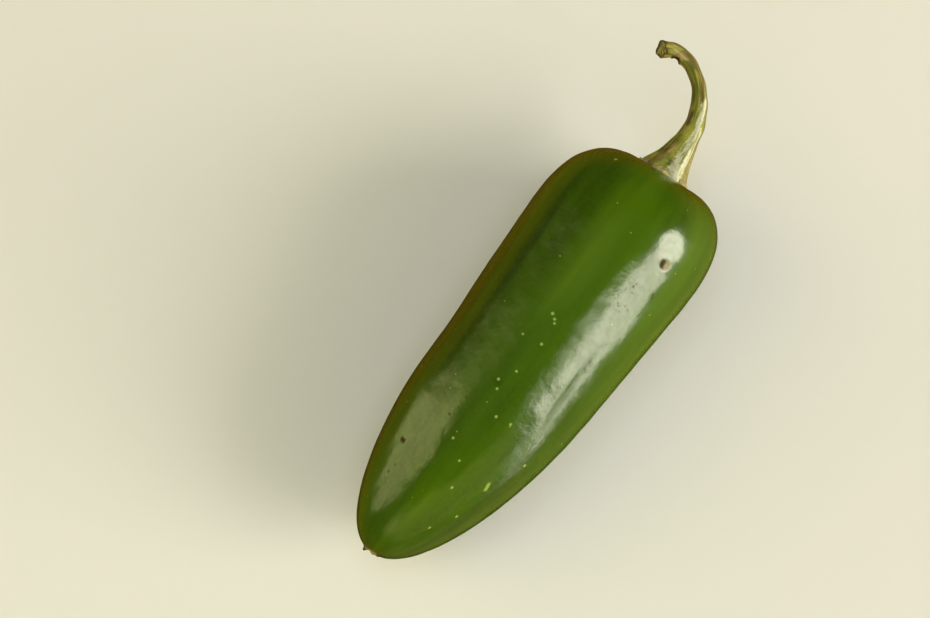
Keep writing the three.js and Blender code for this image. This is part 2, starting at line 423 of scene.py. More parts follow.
def pod_radius(along):
    """The smooth pod's radius at a distance from the tip."""
    girth = GIRTH_RADIUS_AT_TIP + TAPER * along
    nose = rounded_fall(np.maximum(0, 1 - along / NOSE_LENGTH), NOSE_SQUARENESS)
    into_shoulder = np.maximum(0, 1 - (POD_LENGTH - along) / SHOULDER_LENGTH)
    return girth * nose * rounded_fall(into_shoulder, SHOULDER_SQUARENESS)


def lobing(along, bearing):
    """How many times its round radius the pod has, from its lobes and furrows."""
    share = along / POD_LENGTH
    lobes = LOBE_DEPTH * share * np.cos(LOBES * (bearing - LOBE_BEARING))
    furrows = FURROW_DEPTH * share ** FURROW_POWER * np.cos(FURROWS * (bearing - FURROW_BEARING))
    return 1 + lobes + furrows


def dent(along, bearing):
    """The depth of the shallow dent in the pod's flank."""
    sideways = np.maximum(0, np.cos(bearing - DENT_BEARING)) ** 2
    return DENT_DEPTH * hump(along - DENT_ALONG, DENT_REACH) * sideways


def bend(points):
    """Carries points of the straight pod, or of what sits on its broad end, onto the bowed pod."""
    x, y, z = points[..., 0], points[..., 1], points[..., 2]
    share = np.clip(y / POD_LENGTH, 0, 1)
    skew = np.maximum(0, (share - SKEW_START) / (1 - SKEW_START)) ** SKEW_POWER
    bowed = x + BOW * np.sin(np.pi * share) + LEAN * share
    return np.stack([bowed, y + skew * (SKEW_RIGHT * bowed - SKEW_DOWN * z), z], -1)


def smooth_pod(along, bearing):
    """Points of the pod's smooth form, before it is pitched and laid down."""
    radius = pod_radius(along)
    reach = radius * lobing(along, bearing) - np.where(radius > 0, dent(along, bearing), 0)
    dimple = np.where(along > POD_LENGTH / 2, DIMPLE_DEPTH * hump(radius, DIMPLE_REACH), 0)
    straight = [reach * np.sin(bearing), along - dimple, HEIGHT_RATIO * reach * np.cos(bearing)]
    return bend(np.stack(straight, -1))


def pitched(points):
    """Tips points about the tip's end, so that the pod lies on its underside."""
    y, z = points[..., 1], points[..., 2]
    up = y * np.sin(PITCH) + z * np.cos(PITCH)
    return np.stack([points[..., 0], y * np.cos(PITCH) - z * np.sin(PITCH), up], -1)


def outward(points, middle):
    """Unit normals of a grid of points that closes round in its second direction."""
    lengthwise = np.gradient(points, axis=0)
    around = np.roll(points, -1, axis=1) - np.roll(points, 1, axis=1)
    normals = np.cross(lengthwise, around)
    size = np.linalg.norm(normals, axis=-1, keepdims=True)
    normals = normals / np.maximum(size, 1e-9)
    return normals * np.sign(np.sum(normals * (points - middle), -1, keepdims=True))


def waves(place, pattern):
    """A smooth random field of a pattern, with hills roughly one spacing apart."""
    height, spacing, stretch, count, seed = pattern
    dice = np.random.default_rng(SEED + seed)
    total = np.zeros(place.shape[:-1])
    for _ in range(count):
        direction = dice.normal(size=3)
        pace = 2 * np.pi / (spacing * dice.uniform(0.7, 1.5))
        direction *= pace / np.linalg.norm(direction)
        total += np.cos((place * stretch) @ direction + dice.uniform(0, 2 * np.pi))
    return height * (total * np.sqrt(2 / count))


def unrolled(along, bearing, radius=BAR_RADIUS):
    """Where a point would be if the pod, or the stem, were a plain round bar."""
    return np.stack([radius * np.sin(bearing), along, radius * np.cos(bearing)], -1)


def across(radius, bearing):
    """Places in a plane across an axis."""
    return np.stack([radius * np.sin(bearing), radius * np.cos(bearing), 0 * radius * bearing], -1)


def from_mark(along, bearing, mark):
    """Distance in mm over the pod's skin from a mark."""
    aside = turn_from(bearing, np.radians(mark[1])) * pod_radius(np.array(float(mark[0])))
    return np.hypot(along - mark[0], aside)


def from_crease(along, bearing, crease):
    """Distance in mm over the skin from a lengthwise crease, and a fade towards its ends."""
    (start, start_bearing), (end, end_bearing) = crease
    share = (along - start) / (end - start)
    path = np.radians(start_bearing + (end_bearing - start_bearing) * share)
    fade = np.clip(1 - (2 * share - 1) ** 2, 0, 1)
    return turn_from(bearing, path) * pod_radius(along), fade


def pod_tone(along, bearing):
    """How light the green is, from about -1 in the darkest bands to 1 in the lightest."""
    place = unrolled(along, bearing)
    tone = waves(place, BROAD_STREAKS) + waves(place, NARROW_STREAKS)
    for middle, towards, half_length, half_width, lift in BANDS:
        turn = turn_from(np.degrees(bearing), towards, 360)
        tone += lift * hump(along - middle, half_length, 4) * hump(turn, half_width)
    return tone


def painted_crease_shade(along, bearing):
    """How far into a crease a point lies, from 0 to 1: where shade is painted along the creases."""
    deepest = np.zeros(along.shape)
    for crease in CREASES:
        aside, fade = from_crease(along, bearing, crease)
        deepest = np.maximum(deepest, fade * hump(aside, PAINTED_CREASE_SHADE_WIDTH))
    return deepest


def tip_place(mark):
    """A place in the plane across the tip, from its distance from the axis and its bearing."""
    return across(mark[0], np.radians(mark[1]))


def tip_radius(along):
    """Distance from the axis near the tip; far off on the other half of the pod."""
    return np.where(along < POD_LENGTH / 2, pod_radius(along), FAR_OFF)


def scar_layers(along, bearing):
    """How corky, and how dark and dead, the skin of the blossom scar is."""
    from_axis = tip_radius(along)
    place = across(from_axis, bearing)
    wander = waves(place, SCAR_TEAR)
    from_middle = distance_to(place, tip_place(SCAR_MIDDLE))
    corky = hump(from_middle / (1 + wander), SCAR_RADIUS, 6)
    stub = hump(distance_to(place, tip_place(STYLE_STUB)), STYLE_STUB_DEAD_RADIUS, 4)
    turn = turn_from(np.degrees(bearing), SCAR_DEAD_ARC[1], 360)
    arc = hump(from_axis - SCAR_DEAD_ARC[0], SCAR_DEAD_ARC_WIDTH, 4)
    arc *= hump(turn, SCAR_DEAD_ARC_SPREAD, 4)
    # The rim is dead where the scar spreads furthest.
    rim = np.clip(0.5 + 6 * wander, 0, 1) * hump(from_middle - SCAR_RADIUS, SCAR_RIM_WIDTH)
    return corky, np.maximum(np.maximum(stub, arc), SCAR_RIM_STRENGTH * rim)


def scar_relief(along, bearing):
    """The blossom scar: a low, wrinkled disc with the stub of the style at its edge."""
    place = across(tip_radius(along), bearing)
    disc = hump(distance_to(place, tip_place(SCAR_MIDDLE)), SCAR_RADIUS, 6)
    wrinkled = disc * (waves(place, SCAR_WRINKLES) + SCAR_HEIGHT)
    from_stub = distance_to(place, tip_place(STYLE_STUB))
    return wrinkled + STYLE_STUB_HEIGHT * hump(from_stub, STYLE_STUB_RADIUS)


def pod_relief(along, bearing):
    """How far the skin stands off the smooth form, in mm."""
    place = unrolled(along, bearing)
    relief = waves(place, LUMPS) + waves(place, RIPPLES)
    relief *= np.clip(pod_radius(along) / RELIEF_FADE_RADIUS, 0, 1)
    from_pit = from_mark(along, bearing, PIT)
    relief += lip(from_pit, PIT_LIP) - PIT_DEPTH * hump(from_pit, PIT[2], 3)
    from_spot = from_mark(along, bearing, BROWN_SPOT[1])
    relief += BROWN_SPOT_SWELLING_HEIGHT * hump(from_spot, BROWN_SPOT_SWELLING_RADIUS)
    for crease in CREASES:
        aside, fade = from_crease(along, bearing, crease)
        relief -= CREASE_DEPTH * fade * hump(aside, CREASE_WIDTH)
    return relief + scar_relief(along, bearing)


def tube_faces(rings, sides):
    """Quads between rings of points that close round on themselves."""
    ring, side = np.meshgrid(np.arange(rings - 1), np.arange(sides), indexing="ij")
    here = ring * sides + side
    beside = ring * sides + (side + 1) % sides
    return np.stack([here, beside, beside + sides, here + sides], -1).reshape(-1, 4).tolist()


def fan_faces(middle, first, sides, turn):
    """Triangles from a middle point to a ring that starts at first; turn, 1 or -1, sets their way."""
    corners = [(middle, first + side, first + (side + 1) % sides) for side in range(sides)]
    return [corner[::turn] for corner in corners]


def put_in_scene(name, data):
    """An object made from a mesh, light or camera."""
    made = bpy.data.objects.new(name, data)
    bpy.context.scene.collection.objects.link(made)
    return made


def smooth_mesh(name, points, faces, materials):
    """A smooth mesh through points in metres."""
    mesh = bpy.data.meshes.new(name)
    mesh.from_pydata(points.tolist(), [], faces)
    mesh.polygons.foreach_set("use_smooth", np.ones(len(faces), bool))
    for material in materials:
        mesh.materials.append(material)
    return mesh


def make_piece(name, rings, places, layers, materials, face_materials=None):
    """A closed piece through rings of points in mm, laid down on the floor.

    Each point keeps its unrolled place and its named layers, for the materials to read.
    """
    grid = np.concatenate([laid_down(rings), places, np.stack(list(layers.values()), -1)], -1)
    body, faces = closed_grid(grid)
    mesh = smooth_mesh(name, body[:, :3] * MM, faces, materials)
    kept_places = mesh.attributes.new("unrolled", "FLOAT_VECTOR", "POINT")
    kept_places.data.foreach_set("vector", body[:, 3:6].astype(np.float32).ravel())
    for layer, amounts in zip(layers, body[:, 6:].T):
        kept_amounts = mesh.attributes.new(layer, "FLOAT", "POINT")
        kept_amounts.data.foreach_set("value", amounts.astype(np.float32))
    if face_materials is not None:
        mesh.polygons.foreach_set("material_index", face_materials)
    mesh.update()
    return put_in_scene(name, mesh)


def closed_grid(grid):
    """The points and faces of a grid of rings whose first and last rings each become one point."""
    rings, sides = grid.shape[:2]
    body = grid[1:-1].reshape(-1, grid.shape[-1])
    faces = tube_faces(rings - 2, sides)
    faces += fan_faces(len(body), 0, sides, -1)
    faces += fan_faces(len(body) + 1, (rings - 3) * sides, sides, 1)
    return np.concatenate([body, grid[0, :1], grid[-1, :1]]), faces


# Where the pod's skin has points: mm from the tip, closer together towards the ends, and bearing.
POD_GRID = np.meshgrid(
    POD_LENGTH * (1 - np.cos(np.linspace(0, np.pi, POD_RINGS))) / 2,
    all_round(POD_SIDES),
    indexing="ij",
)


def find_place():
    """How far to move the pitched pod, to lie where the CAD's pod lies, let down into the floor."""
    lowest = pitched(smooth_pod(*POD_GRID)).reshape(-1, 3).min(0)
    cad_corner = np.array(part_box("pod")[0]) / MM
    return np.array([*(cad_corner - lowest)[:2], -lowest[2] - CONTACT_DEPTH])


PLACE = find_place()


def laid_down(points):
    """Pitches points and moves them to their place, flat where they would be under the floor."""
    placed = pitched(points) + PLACE
    placed[..., 2] = np.maximum(placed[..., 2], 0)
    return placed


# --- Materials ---

def new_material(name):
    """A material without nodes yet, and its node tree."""
    material = bpy.data.materials.new(name)
    material.use_nodes = True
    tree = material.node_tree
    tree.nodes.clear()
    return material, tree


def pod_flesh(tree, place, clusters):
    """The colour of the flesh: lengthwise greens, among them painted reflections, thin streaks and
    clusters of cells under the skin.
    """
    tone = add(tree, "Attribute", {"attribute_name": "tone"}).outputs["Fac"]
    level = add(tree, "MapRange", {"From Min": -1.0, "From Max": 1.0}, {"Value": tone})
    bands = add(
        tree, "ValToRGB",
        {"stops": ((0.0, "#213100"), (0.4, "#324c00"), (0.6, "#395600"), (1.0, "#526e0a"))},
        {0: level.outputs[0]},
    )
    # Thin streaks are about 1 mm across and ten times as long.
    stretched = add(tree, "Mapping", {"Scale": (0.5, 0.05, 0.5)}, {"Vector": place})
    streaks = add(tree, "TexNoise", THIN_STREAKS, {"Vector": stretched.outputs["Vector"]})
    streak_greens = add(
        tree, "ValToRGB", {"stops": ((0.34, "#2a4000"), (0.66, "#476200"))},
        {0: streaks.outputs["Fac"]},
    )
    streaked = add(
        tree, "Mix", {"data_type": "RGBA", 0: 0.15},
        {6: bands.outputs["Color"], 7: streak_greens.outputs["Color"]},
    )
    cluster_share = add(
        tree, "MapRange",
        {"From Min": 0.35, "From Max": 0.7, "To Max": 0.25},
        {"Value": clusters.outputs["Fac"]},
    )
    return add(
        tree, "Mix", {"data_type": "RGBA", 7: linear("#445f04")},
        {0: cluster_share.outputs[0], 6: streaked.outputs[2]},
    ).outputs[2]


def pod_patches(tree, place):
    """Pores, marks, scarred skin and the painted shade of the creases: how much there is of each, its
    colour and the wax it lacks. Some pale specks are painted glints.
    """
    # Pores: pale points about 0.3 mm across and some 3 mm apart.
    pores = add(tree, "TexVoronoi", PORES, {"Vector": place})
    pore_share = add(
        tree, "MapRange", {"From Min": 0.06, "From Max": 0.02, "To Max": 0.6},
        {"Value": pores.outputs["Distance"]},
    )
    patches = [(pore_share.outputs[0], "#a9b62c", 0.0)]
    for marks, blur, hue, strength, lack in MARKS:
        for along, bearing, radius in marks:
            centre = unrolled(float(along), np.radians(bearing)).tolist()
            away = add(tree, "VectorMath", {"operation": "DISTANCE", 1: centre}, {0: place})
            share = add(
                tree, "MapRange",
                {"From Min": radius + blur, "From Max": radius, "To Max": strength},
                {"Value": away.outputs["Value"]},
            )
            patches.append((share.outputs[0], hue, lack))
    for layer, hue, lack in SCAR_AND_CREASE_SHADE_LAYERS:
        amount = add(tree, "Attribute", {"attribute_name": layer}).outputs["Fac"]
        patches.append((amount, hue, lack))
    return patches


def wax_surface(tree, place):
    """The uneven top of the wax: soft ripples 2 mm apart and a finer grain 0.4 mm apart."""
    ripples = add(tree, "TexNoise", WAX_RIPPLES, {"Vector": place})
    grain = add(tree, "TexNoise", WAX_GRAIN, {"Vector": place})
    rippled = add(tree, "Bump", {"Distance": 0.05 * MM}, {"Height": ripples.outputs["Fac"]})
    return add(
        tree, "Bump", {"Distance": 0.015 * MM},
        {"Height": grain.outputs["Fac"], "Normal": rippled.outputs["Normal"]},
    ).outputs["Normal"]


def waxed_pod_skin():
    """Fresh chilli skin: a thick clear wax over green flesh.

    The wax gives a soft, bright gloss with slightly broken edges; the flesh under it shows
    darker and lighter green running lengthwise, pale pores and a few dead, matt marks. Some of
    the colour is painted light: a dark band and two light ones are painted reflections, some
    pale specks are painted glints, and the creases are darkened with painted shade.
    """
    material, tree = new_material("waxed_pod_skin")
    place = add(tree, "Attribute", {"attribute_name": "unrolled"}).outputs["Vector"]
    # Cell clusters about 0.8 mm apart, which thin the wax and roughen what is under it, too.
    clusters = add(tree, "TexNoise", CELL_CLUSTERS, {"Vector": place})
    wax = add(
        tree, "MapRange",
        {"From Min": 0.35, "From Max": 0.6, "To Min": 0.8, "To Max": 1.0},
        {"Value": clusters.outputs["Fac"]},
    ).outputs[0]
    rub = add(
        tree, "MapRange",
        {"From Min": 0.3, "From Max": 0.7, "To Min": 0.4, "To Max": 0.5},
        {"Value": clusters.outputs["Fac"]},
    )
    colour = pod_flesh(tree, place, clusters)
    for share, hue, lack in pod_patches(tree, place):
        colour = add(
            tree, "Mix", {"data_type": "RGBA", 7: linear(hue)}, {0: share, 6: colour}
        ).outputs[2]
        if lack:
            kept = add(tree, "Math", {"operation": "MULTIPLY_ADD", 1: -lack, 2: 1.0}, {0: share})
            wax = add(
                tree, "Math", {"operation": "MULTIPLY"}, {0: wax, 1: kept.outputs[0]}
            ).outputs[0]
    surface = wax_surface(tree, place)
    skin = add(
        tree, "BsdfPrincipled",
        {"IOR": 1.45, "Coat Roughness": 0.17, "Coat IOR": 1.6, "Specular IOR Level": 0.04},
        {"Base Color": colour, "Roughness": rub.outputs[0], "Coat Weight": wax,
         "Normal": surface, "Coat Normal": surface},
    )
    add(tree, "OutputMaterial", {}, {"Surface": skin.outputs["BSDF"]})
    return material


def ribbed_stem_skin():
    """Chilli stalk: a dull green skin over long fibres, with pale corky ribs.

    The fibres break the light into fine lengthwise lines, and old rubs have dried brown. Some of
    the colour is painted light: the pale cork towards the lights is partly a painted highlight,
    the straw on the right side is painted shade, the brown on the left edge of the foot is partly
    painted shade, and the deep green in the pit at the foot is painted shade.
    """
    material, tree = new_material("ribbed_stem_skin")
    place = add(tree, "Attribute", {"attribute_name": "unrolled"}).outputs["Vector"]
    # Fibres about 0.5 mm across that run the length of the stalk, and a mottle 0.3 mm across.
    stretched = add(tree, "Mapping", {"Scale": (1, 0.12, 1)}, {"Vector": place})
    fibres = add(tree, "TexNoise", FIBRES, {"Vector": stretched.outputs["Vector"]})
    mottle = add(tree, "TexNoise", MOTTLE, {"Vector": place})
    colour = add(
        tree, "ValToRGB", {"stops": ((0.3, "#4a5006"), (0.5, "#757812"), (0.7, "#9e993c"))},
        {0: fibres.outputs["Fac"]},
    ).outputs["Color"]
    # Each patch breaks up at its edges along the fibres or in the mottle.
    for patch, breaks_along_fibres, stops in STEM_PATCH_COLOURS:
        broken_by = fibres if breaks_along_fibres else mottle
        amount = add(tree, "Attribute", {"attribute_name": patch}).outputs["Fac"]
        torn = add(
            tree, "Math", {"operation": "MULTIPLY_ADD", 1: 1.2, 2: -0.6},
            {0: broken_by.outputs["Fac"]},
        )
        shifted = add(tree, "Math", {"operation": "ADD"}, {0: amount, 1: torn.outputs[0]})
        share = add(
            tree, "MapRange", {"From Min": 0.35, "From Max": 0.65, "To Max": 0.92},
            {"Value": shifted.outputs[0]},
        )
        tints = add(tree, "ValToRGB", {"stops": stops}, {0: fibres.outputs["Fac"]})
        colour = add(
            tree, "Mix", {"data_type": "RGBA"},
            {0: share.outputs[0], 6: colour, 7: tints.outputs["Color"]},
        ).outputs[2]
    # Lenticels: dark points about 0.25 mm across.
    points = add(tree, "TexNoise", LENTICELS, {"Vector": place})
    point_share = add(
        tree, "MapRange", {"From Min": 0.56, "From Max": 0.7, "To Max": 0.4},
        {"Value": points.outputs["Fac"]},
    )
    colour = add(
        tree, "Mix", {"data_type": "RGBA", 7: linear("#4a4a12")},
        {0: point_share.outputs[0], 6: colour},
    ).outputs[2]
    lines = add(tree, "Bump", {"Distance": 0.2 * MM}, {"Height": fibres.outputs["Fac"]})
    skin = add(
        tree, "BsdfPrincipled", {"IOR": 1.45, "Roughness": 0.6},
        {"Base Color": colour, "Normal": lines.outputs["Normal"]},
    )
    add(tree, "OutputMaterial", {}, {"Surface": skin.outputs["BSDF"]})
    return material


def dry_tissue(name, noise, stretch, stops, rim, rim_range, rim_hue, raised, settings):
    """Matt plant tissue, coloured and raised by one noise, with a rim of another colour."""
    material, tree = new_material(name)
    place = add(tree, "Attribute", {"attribute_name": "unrolled"}).outputs["Vector"]
    stretched = add(tree, "Mapping", {"Scale": stretch}, {"Vector": place})
    uneven = add(tree, "TexNoise", noise, {"Vector": stretched.outputs["Vector"]})
    hues = add(tree, "ValToRGB", {"stops": stops}, {0: uneven.outputs["Fac"]})
    towards_rim = add(tree, "Attribute", {"attribute_name": rim}).outputs["Fac"]
    rim_share = add(tree, "MapRange", rim_range, {"Value": towards_rim})
    colour = add(
        tree, "Mix", {"data_type": "RGBA", 7: linear(rim_hue)},
        {0: rim_share.outputs[0], 6: hues.outputs["Color"]},
    )
    relief = add(tree, "Bump", {"Distance": raised * MM}, {"Height": uneven.outputs["Fac"]})
    tissue = add(
        tree, "BsdfPrincipled", settings,
        {"Base Color": colour.outputs[2], "Normal": relief.outputs["Normal"]},
    )
    add(tree, "OutputMaterial", {}, {"Surface": tissue.outputs["BSDF"]})
    return material


def dried_stem_cut():
    """The snapped end of the stalk: dry pith whose fibres fan out to a dark, shrunken skin."""
    return dry_tissue(
        "dried_stem_cut",
        noise=PITH_FIBRES,  # about 0.5 mm apart at the rim
        stretch=(1, 0.25, 1),
        stops=((0.35, "#45420f"), (0.5, "#7c7434"), (0.65, "#ada267")),
        rim="into_cut",
        rim_range={"From Min": 0.4, "From Max": 0.05, "To Max": 0.9},
        rim_hue="#35160a",
        raised=0.3,
        settings={"IOR": 1.4, "Roughness": 0.85},
    )


def papery_calyx():
    """The calyx: thin, half-dried leaf tissue, olive with brown, shrunken edges."""
    return dry_tissue(
        "papery_calyx",
        noise=CALYX_MOTTLE,  # about 0.8 mm across
        stretch=EVEN,
        stops=((0.35, "#62602a"), (0.5, "#888a52"), (0.65, "#b0b088")),
        rim="towards_rim",
        rim_range={"From Min": 0.9, "From Max": 1.0, "To Max": 0.8},
        rim_hue="#a89468",
        raised=0.1,
        settings={"IOR": 1.42, "Roughness": 0.6},
    )


def pale_matt_board():
    """The floor: matt painted board, pale and even, with the faintest cloudiness."""
    material, tree = new_material("pale_matt_board")
    place = add(tree, "TexCoord").outputs["Object"]
    clouds = add(tree, "TexNoise", {"Scale": 3, "Detail": 2}, {"Vector": place})
    greys = add(
        tree, "ValToRGB", {"stops": ((0.3, "#d9d7d6"), (0.7, "#dedddc"))},
        {0: clouds.outputs["Fac"]},
    )
    paint = add(
        tree, "BsdfPrincipled", {"Roughness": 0.8, "Specular IOR Level": 0.2},
        {"Base Color": greys.outputs["Color"]},
    )
    add(tree, "OutputMaterial", {}, {"Surface": paint.outputs["BSDF"]})
    return material


# --- Pieces ---

def make_pod():
    """The pod: a closed skin with its lumps, creases, pit and blossom scar."""
    along, bearing = POD_GRID
    smooth = smooth_pod(along, bearing)
    middle = smooth.mean(axis=1, keepdims=True)
    rings = smooth + outward(smooth, middle) * pod_relief(along, bearing)[..., None]
    scar_cork, scar_dead = scar_layers(along, bearing)
    layers = {
        "tone": pod_tone(along, bearing),
        "scar_cork": scar_cork,
        "scar_dead": scar_dead,
        # Painted shade along the creases.
        "crease": painted_crease_shade(along, bearing),
    }
    pod = make_piece("pod_skin", rings, unrolled(along, bearing), layers, [waxed_pod_skin()])
    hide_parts("pod")
    return pod


def stem_centreline(count):
    """Evenly spaced points on a curve through the route, its directions, and mm from the foot."""
    ends = [2 * STEM_ROUTE[0] - STEM_ROUTE[1], *STEM_ROUTE, 2 * STEM_ROUTE[-1] - STEM_ROUTE[-2]]
    dense = []
    for p0, p1, p2, p3 in zip(ends, ends[1:], ends[2:], ends[3:]):
        steps = np.linalg.norm([p1 - p0, p2 - p1, p3 - p2], axis=1)
        before, here, after = np.sqrt(steps)
        leaving = (p1 - p0) / before - (p2 - p0) / (before + here) + (p2 - p1) / here
        arriving = (p2 - p1) / here - (p3 - p1) / (here + after) + (p3 - p2) / after
        share = np.linspace(0, 1, STEM_ROUTE_STEPS, endpoint=False)[:, None]
        rise = share ** 2 * (3 - 2 * share)
        leave = share * (1 - share) ** 2 * leaving * here
        arrive = share ** 2 * (share - 1) * arriving * here
        dense.append(p1 + (p2 - p1) * rise + leave + arrive)
    dense = np.concatenate([*dense, STEM_ROUTE[-1:]])
    reached = np.concatenate([[0], np.cumsum(np.linalg.norm(np.diff(dense, axis=0), axis=1))])
    stops = np.linspace(0, reached[-1], count)
    points = np.stack([np.interp(stops, reached, dense[:, axis]) for axis in range(3)], -1)
    forward = np.gradient(points, axis=0)
    return points, forward / np.linalg.norm(forward, axis=1, keepdims=True), stops


def stem_patch(from_foot, bearing, patches, torn):
    """How much of a point of the stem's skin lies in any of some lengthwise patches."""
    most = np.zeros(from_foot.shape)
    for start, end, towards, half_width in patches:
        turn = np.abs(turn_from(np.degrees(bearing), towards, 360))
        inside = np.clip((half_width - turn) / STEM_PATCH_BLUR + 0.5 + torn, 0, 1)
        inside *= np.clip((from_foot - start) / STEM_PATCH_END_BLUR + 0.5 + torn, 0, 1)
        inside *= np.clip((end - from_foot) / STEM_PATCH_END_BLUR + 0.5 + torn, 0, 1)
        most = np.maximum(most, inside)
    return most


def from_stem_mark(from_foot, bearing, mark):
    """Distance in mm over the stem's skin from a mark."""
    return np.hypot(from_foot - mark[0], turn_from(bearing, np.radians(mark[1])) * STEM_RADIUS)


def stem_axis():
    """Points of the stem's axis from its root in the calyx up, directions, and mm from the foot."""
    centre, forward, from_foot = stem_centreline(STEM_RINGS)
    centre = centre + bend(np.array([0.0, POD_LENGTH, 0.0]))
    root = np.linspace(-STEM_ROOT, 0, STEM_ROOT_RINGS, endpoint=False)
    centre = np.concatenate([centre[0] + forward[0] * root[:, None], centre])
    forward = np.concatenate([np.repeat(forward[:1], len(root), 0), forward])
    return centre, forward, np.concatenate([root, from_foot])


def stem_spokes(forward, bearing):
    """Directions out from the stem's axis, for each ring and bearing."""
    side = np.cross(forward, (0, 0, 1))
    side /= np.linalg.norm(side, axis=1, keepdims=True)
    upright = np.cross(side, forward)
    return side[:, None] * np.sin(bearing)[..., None] + upright[:, None] * np.cos(bearing)[..., None]


def stem_girth(from_foot, bearing):
    """The stem's radius: flared and toed at the foot, waisted, ribbed and swollen at the cut."""
    to_end = from_foot[-1] - from_foot
    foot = STEM_FOOT_SPREAD * np.exp(-np.maximum(from_foot, STEM_FOOT_FULL) / STEM_FOOT_REACH)
    swelling = STEM_END_SPREAD * np.exp(-to_end / STEM_END_REACH)
    waist = STEM_WAIST_DEPTH * hump(from_foot - STEM_WAIST_PLACE, STEM_WAIST_REACH)
    rib = ((1 + np.cos(STEM_RIBS * (bearing - STEM_RIB_BEARING))) / 2) ** STEM_RIB_SHARPNESS
    crest = 2 * rib + STEM_GROOVE_LEVEL
    toes = 1 + STEM_TOE_GAIN * np.exp(-np.maximum(from_foot, 0) / STEM_TOE_REACH)
    return (STEM_RADIUS + foot + swelling - waist) * (1 + STEM_RIB_DEPTH * toes * crest)


def stem_relief(from_foot, bearing):
    """Fibres, knobs, frayed end, the notch torn by a side stalk and the pit between two toes."""
    place = unrolled(from_foot, bearing, STEM_RADIUS)
    relief = waves(place, STEM_FIBRES) + waves(place, STEM_KNOBS)
    from_notch = from_stem_mark(from_foot, bearing, STEM_NOTCH)
    relief += lip(from_notch, STEM_NOTCH_LIP)
    relief -= STEM_NOTCH_DEPTH * hump(from_notch, STEM_NOTCH_RADIUS, 4)
    relief -= STEM_PIT_DEPTH * hump(from_stem_mark(from_foot, bearing, STEM_PIT), STEM_PIT_RADIUS)
    frayed = np.exp(-(from_foot[-1] - from_foot) / CUT_FRAYING_REACH)
    return relief + frayed * waves(place, CUT_FRAYING)


def cut_back(from_foot, bearing):
    """How far the skin falls short of the end, where the cut slants and its rim is ragged."""
    to_end = from_foot[-1] - from_foot
    near_end = np.clip((CUT_SLANT_REACH - to_end) / CUT_SLANT_REACH, 0, 1)
    slant = CUT_SLANT * (1 + np.cos(bearing)) / 2 * near_end
    ragged = waves(unrolled(from_foot, bearing, STEM_RADIUS), CUT_RAGGEDNESS)
    return slant + ragged * np.exp(-to_end / CUT_RAGGEDNESS_REACH)


def cut_rings(rim, middle, forward, rim_place, outwards):
    """Rings of the cut inside its rim: sunk in the middle, with cracks that run out from there."""
    sunk = CUT_SUNK * (1 - outwards ** 3)
    cracks = waves(rim_place, CUT_CRACKS) * outwards
    return middle + (rim - middle) * outwards[..., None] - forward * (sunk + cracks)[..., None]


def stem_layers(from_foot, bearing, length, into_cut):
    """How much of each kind of skin lies at each point of the stem."""
    torn = waves(unrolled(from_foot, bearing, STEM_RADIUS), STEM_PATCH_TEAR)
    layers = {
        name: stem_patch(from_foot, bearing, patches, torn)
        for name, patches in STEM_PATCHES.items()
    }
    for name, (reach, blur, tear) in CUT_DRIED.items():
        dried = np.clip((from_foot - length + reach) / blur + tear * torn, 0, 1)
        layers[name] = np.maximum(layers[name], dried)
    return {**layers, "into_cut": into_cut + 0 * from_foot}


def make_stem():
    """The stem: a ribbed, fibrous stalk that flares at its foot and ends in a dry cut."""
    centre, forward, on_axis = stem_axis()
    from_foot, bearing = np.meshgrid(on_axis, all_round(STEM_SIDES), indexing="ij")
    reach = stem_girth(from_foot, bearing) + stem_relief(from_foot, bearing)
    wall = centre[:, None] + stem_spokes(forward, bearing) * reach[..., None]
    wall -= forward[:, None] * cut_back(from_foot, bearing)[..., None]
    outwards = np.linspace(1, 0, CUT_RINGS)[1:, None]
    rim_place = unrolled(from_foot[-1:], bearing[-1:], STEM_RADIUS)
    cut = cut_rings(wall[-1], centre[-1], forward[-1], rim_place, outwards)
    rings = np.concatenate([np.repeat(centre[:1, None], STEM_SIDES, 1), wall, cut])
    # The same places for the material, with the root's middle first and the cut drawn in last.
    drawn_in = on_axis[-1] + CUT_DRAWN_IN * (1 - outwards) + 0 * bearing[:1]
    from_foot = np.concatenate([from_foot[:1], from_foot, drawn_in])
    bearing = np.repeat(bearing[:1], len(from_foot), 0)
    into_cut = np.concatenate([np.zeros((len(on_axis) + 1, 1)), 1 - outwards])
    layers = stem_layers(from_foot, bearing, on_axis[-1], into_cut)
    # The faces go ring by ring, then come the two ends: the root's and the middle of the cut.
    is_cut = np.zeros((len(rings) - 1) * STEM_SIDES, np.int32)
    is_cut[(len(on_axis) - 1) * STEM_SIDES:] = 1
    is_cut[(len(rings) - 3) * STEM_SIDES:-STEM_SIDES] = 0
    materials = [ribbed_stem_skin(), dried_stem_cut()]
    places = unrolled(from_foot, bearing, STEM_RADIUS)
    stem = make_piece("stem_stalk", rings, places, layers, materials, is_cut)
    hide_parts("stem")
    return stem


def broad_end(radius, bearing):
    """Points of the pod's broad end, found by their distance from its axis."""
    girth = GIRTH_RADIUS_AT_TIP + TAPER * POD_LENGTH
    into_shoulder = rounded_fall(radius / girth, SHOULDER_SQUARENESS)
    along = POD_LENGTH - SHOULDER_LENGTH * (1 - into_shoulder)
    return smooth_pod(along, bearing)


